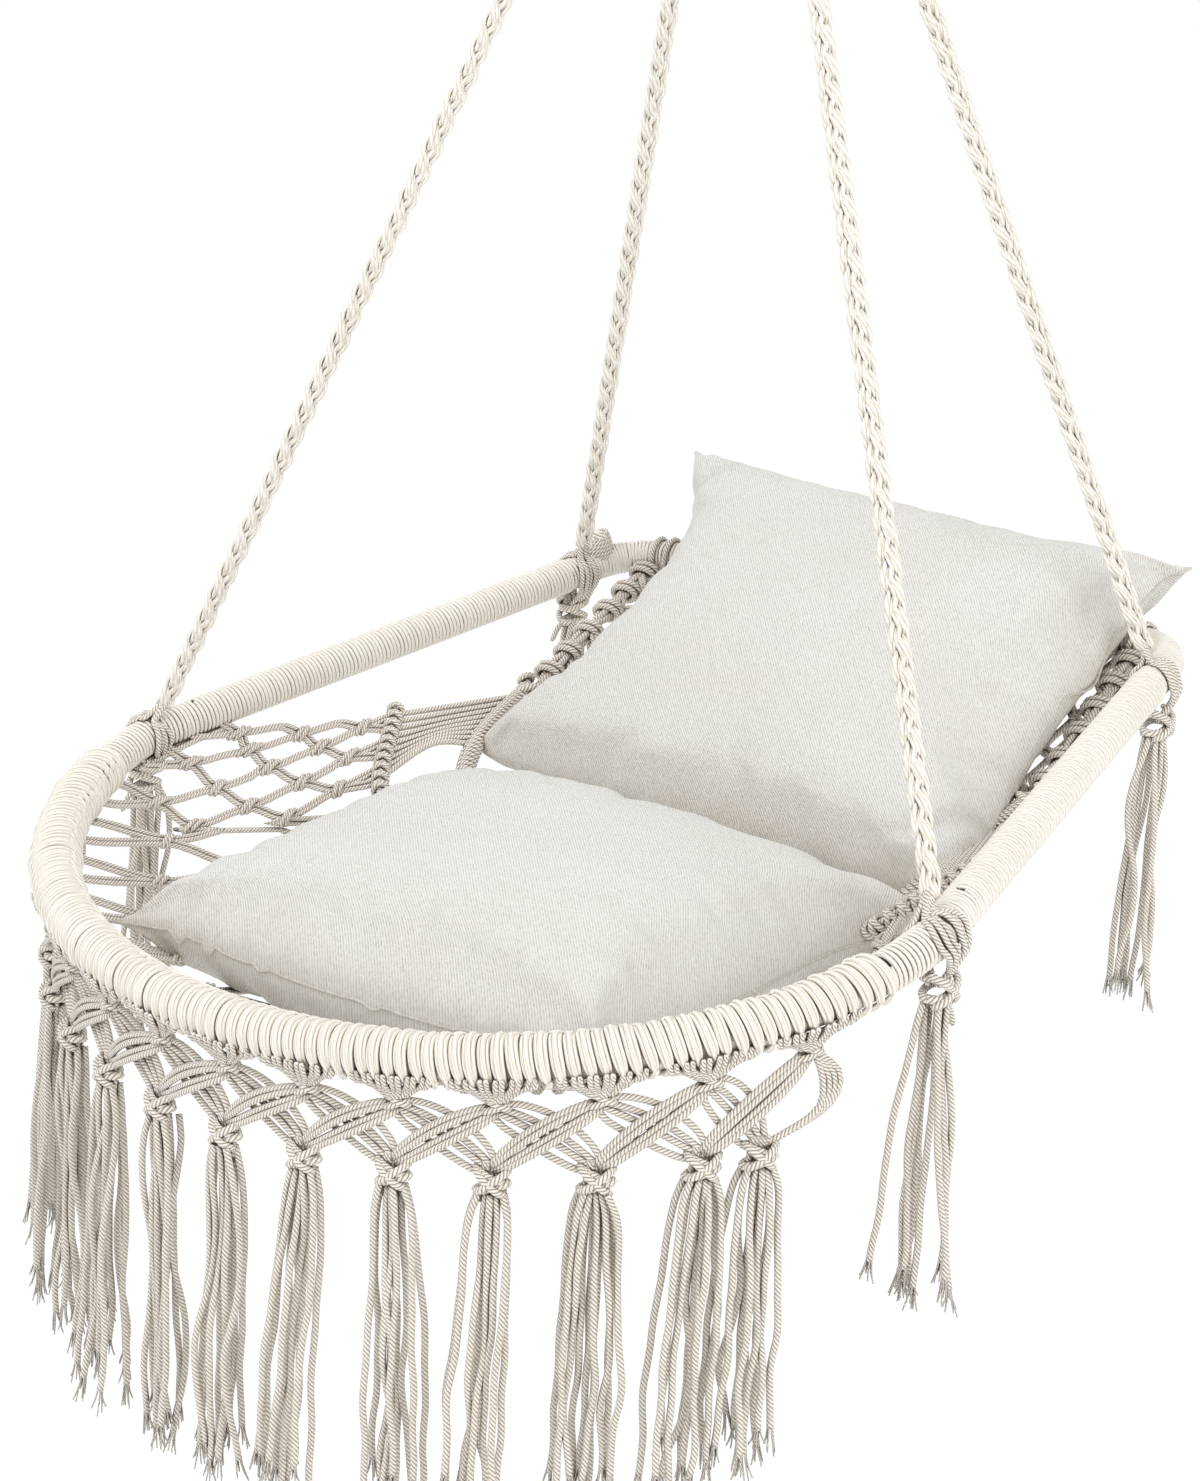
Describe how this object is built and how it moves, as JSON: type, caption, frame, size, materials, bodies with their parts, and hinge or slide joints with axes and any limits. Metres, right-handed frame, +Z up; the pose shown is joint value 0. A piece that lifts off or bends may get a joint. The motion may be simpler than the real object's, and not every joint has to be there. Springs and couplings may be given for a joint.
{
  "type": "hammock chair",
  "caption": "Macrame hanging chair: cord-wound ring frame on four ropes and a steel hanging ring, with knotted seat and back, tasselled fringe and two loose cushions.",
  "frame": {"origin": "inside top of the hanging ring, where the hook carries it", "axes": "+Z up, the chair's front and fringe face -Y, +X is to the right seen from the front"},
  "size_m": [0.8496, 0.871, 1.5961],
  "materials": {
    "steel": "bright plated wire and tube",
    "rope": "natural cotton rope",
    "winding": "wound cotton cord",
    "net_cord": "knotted cotton cord",
    "twill": "matt cotton twill"
  },
  "bodies": {
    "hanger": {"hanging_ring": "steel"},
    "rope_eyes": {"rope_eye_left": "rope", "rope_eye_right": "rope", "eye_seizing": "winding"},
    "chair": {"front_arc_tube": "steel", "back_tube": "steel", "side_tube_left": "steel", "side_tube_right": "steel", "spigot_front_left": "steel", "spigot_front_right": "steel", "spigot_back_left": "steel", "spigot_back_right": "steel", "front_winding": "winding", "corner_whipping_left": "winding", "corner_whipping_right": "winding", "back_wrap": "winding", "side_wrap_left": "winding", "side_wrap_right": "winding", "gather_knot": "rope", "rope_front_left": "rope", "rope_front_right": "rope", "rope_back_left": "rope", "rope_back_right": "rope", "corner_lashing_front_left": "rope", "corner_lashing_front_right": "rope", "corner_lashing_back_left": "rope", "corner_lashing_back_right": "rope", "tassel_01": "rope", "tassel_02": "rope", "tassel_03": "rope", "tassel_04": "rope", "tassel_05": "rope", "tassel_06": "rope", "tassel_07": "rope", "tassel_08": "rope", "tassel_09": "rope", "tassel_10": "rope", "tassel_11": "rope", "tassel_12": "rope", "tassel_13": "rope", "seat_belt": "net_cord", "seat_net": "net_cord", "back_net": "net_cord", "fringe_border": "net_cord"},
    "seat_cushion": {"seat_cushion": "twill"},
    "back_cushion": {"back_cushion": "twill"}
  },
  "joints": [
    {"name": "rope_eyes_swing", "type": "hinge", "parent": "hanger", "child": "rope_eyes", "pos_m": [0, 0, -0.054], "axis": [1, 0, 0], "range_deg": [-20, 20]},
    {"name": "chair_side_swing", "type": "hinge", "parent": "rope_eyes", "child": "chair", "pos_m": [0, 0, -0.118], "axis": [0, 1, 0], "range_deg": [-10, 10]},
    {"name": "seat_cushion_lift", "type": "slide", "parent": "chair", "child": "seat_cushion", "axis": [0, -0.3419, 0.9397], "range_m": [0, 0.2]},
    {"name": "back_cushion_lift", "type": "slide", "parent": "chair", "child": "back_cushion", "axis": [-0.1659, -0.5787, 0.7985], "range_m": [0, 0.1]}
  ]
}
